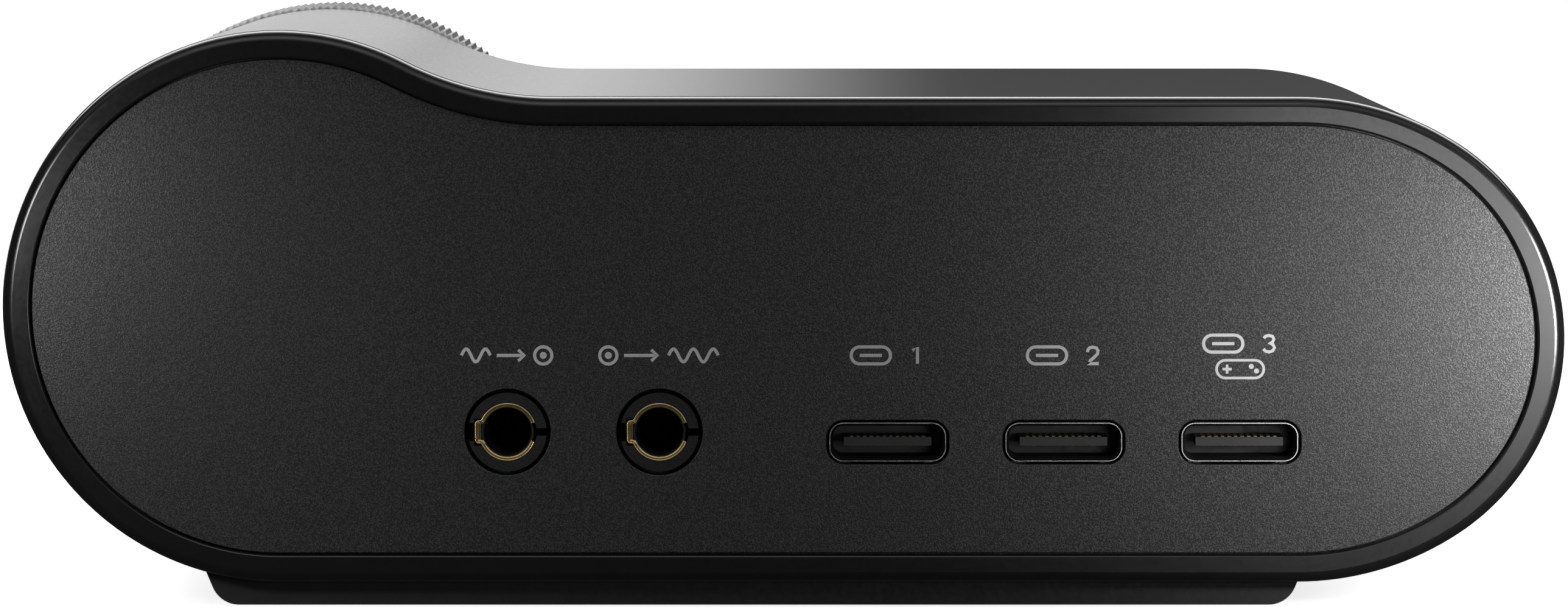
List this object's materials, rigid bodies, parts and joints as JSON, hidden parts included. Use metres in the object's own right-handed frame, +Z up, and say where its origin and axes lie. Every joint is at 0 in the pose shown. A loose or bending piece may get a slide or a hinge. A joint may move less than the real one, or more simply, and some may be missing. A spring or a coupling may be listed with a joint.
{
  "type": "audio interface",
  "caption": "Small desktop audio interface: round-ended case with a big knurled dial and a display in front, jacks and USB-C sockets behind.",
  "frame": {"origin": "centre of the bounding box's bottom face, on the table under the foot pad", "axes": "+Z up, +Y towards the rear panel with the sockets, +X to the dial's end, to the right as seen from the front"},
  "size_m": [0.1196, 0.094, 0.0445],
  "materials": {
    "case_paint": "fine metallic paint, satin",
    "panel_paint": "fine sparkle grain, matt",
    "fascia_black": "satin black",
    "dark_lens": "smoked, polished",
    "display_glass": "polished glass sandwich",
    "foot_rubber": "matt black",
    "inner_plastic": "moulded, plain",
    "button_plastic": "satin",
    "switch_tip": "moulded",
    "black_moulding": "moulded, matt",
    "tongue_plastic": "moulded, matt",
    "dial_metal": "satin, knurled",
    "plated_steel": "nickel plated",
    "gold_plate": "gold plated",
    "brass_bar": "turned",
    "white_moulding": "moulded",
    "circuit_board": "green solder mask",
    "amber_film": "polyimide film",
    "can_sleeve": "bare can"
  },
  "bodies": {
    "base": {"outer_sleeve": "case_paint", "rear_panel": "panel_paint", "front_fascia": "fascia_black", "foot_pad": "foot_rubber", "chassis_frame": "inner_plastic", "ballast_plate": "plated_steel", "case_screws": "plated_steel", "display_lens": "dark_lens", "lens_gasket": "foot_rubber", "display_glass": "display_glass", "display_holder": "inner_plastic", "display_flex": "amber_film", "button_switch": "black_moulding", "control_board": "circuit_board", "control_board_screws": "plated_steel", "encoder_body": "plated_steel", "encoder_bush": "plated_steel", "encoder_washer": "plated_steel", "encoder_nut": "plated_steel", "press_disc": "gold_plate", "main_board": "circuit_board", "board_standoffs": "brass_bar", "board_screws": "plated_steel", "processor_chip": "black_moulding", "codec_chip": "black_moulding", "usb_hub_chip": "black_moulding", "shield_can": "plated_steel", "capacitors": "can_sleeve", "ribbon_sockets": "white_moulding", "control_ribbon": "white_moulding", "line_in_jack": "black_moulding", "line_in_sleeve": "gold_plate", "line_in_springs": "gold_plate", "line_out_jack": "black_moulding", "line_out_sleeve": "gold_plate", "line_out_springs": "gold_plate", "usb_shell_1": "plated_steel", "usb_shell_2": "plated_steel", "usb_shell_3": "plated_steel", "usb_tongue_1": "tongue_plastic", "usb_tongue_2": "tongue_plastic", "usb_tongue_3": "tongue_plastic", "usb_contacts_1": "gold_plate", "usb_contacts_2": "gold_plate", "usb_contacts_3": "gold_plate"},
    "press_carrier": {"press_plunger": "white_moulding"},
    "dial": {"dial_ring": "dial_metal", "dial_hub": "inner_plastic", "dial_face": "fascia_black", "encoder_shaft": "plated_steel"},
    "menu_key": {"menu_button": "button_plastic", "button_plunger": "switch_tip"}
  },
  "joints": [
    {"name": "dial_press", "type": "slide", "parent": "base", "child": "press_carrier", "axis": [0, 1, 0], "range_m": [0, 0.0005], "stiffness_N_per_m": 6000, "springref_m": -0.0002},
    {"name": "dial_turn", "type": "hinge", "parent": "press_carrier", "child": "dial", "pos_m": [0.03838, -0.04, 0.02305], "axis": [0, 1, 0], "continuous": true},
    {"name": "menu_press", "type": "slide", "parent": "base", "child": "menu_key", "axis": [0, 1, 0], "range_m": [0, 0.0004], "stiffness_N_per_m": 4000, "springref_m": -0.0002}
  ]
}
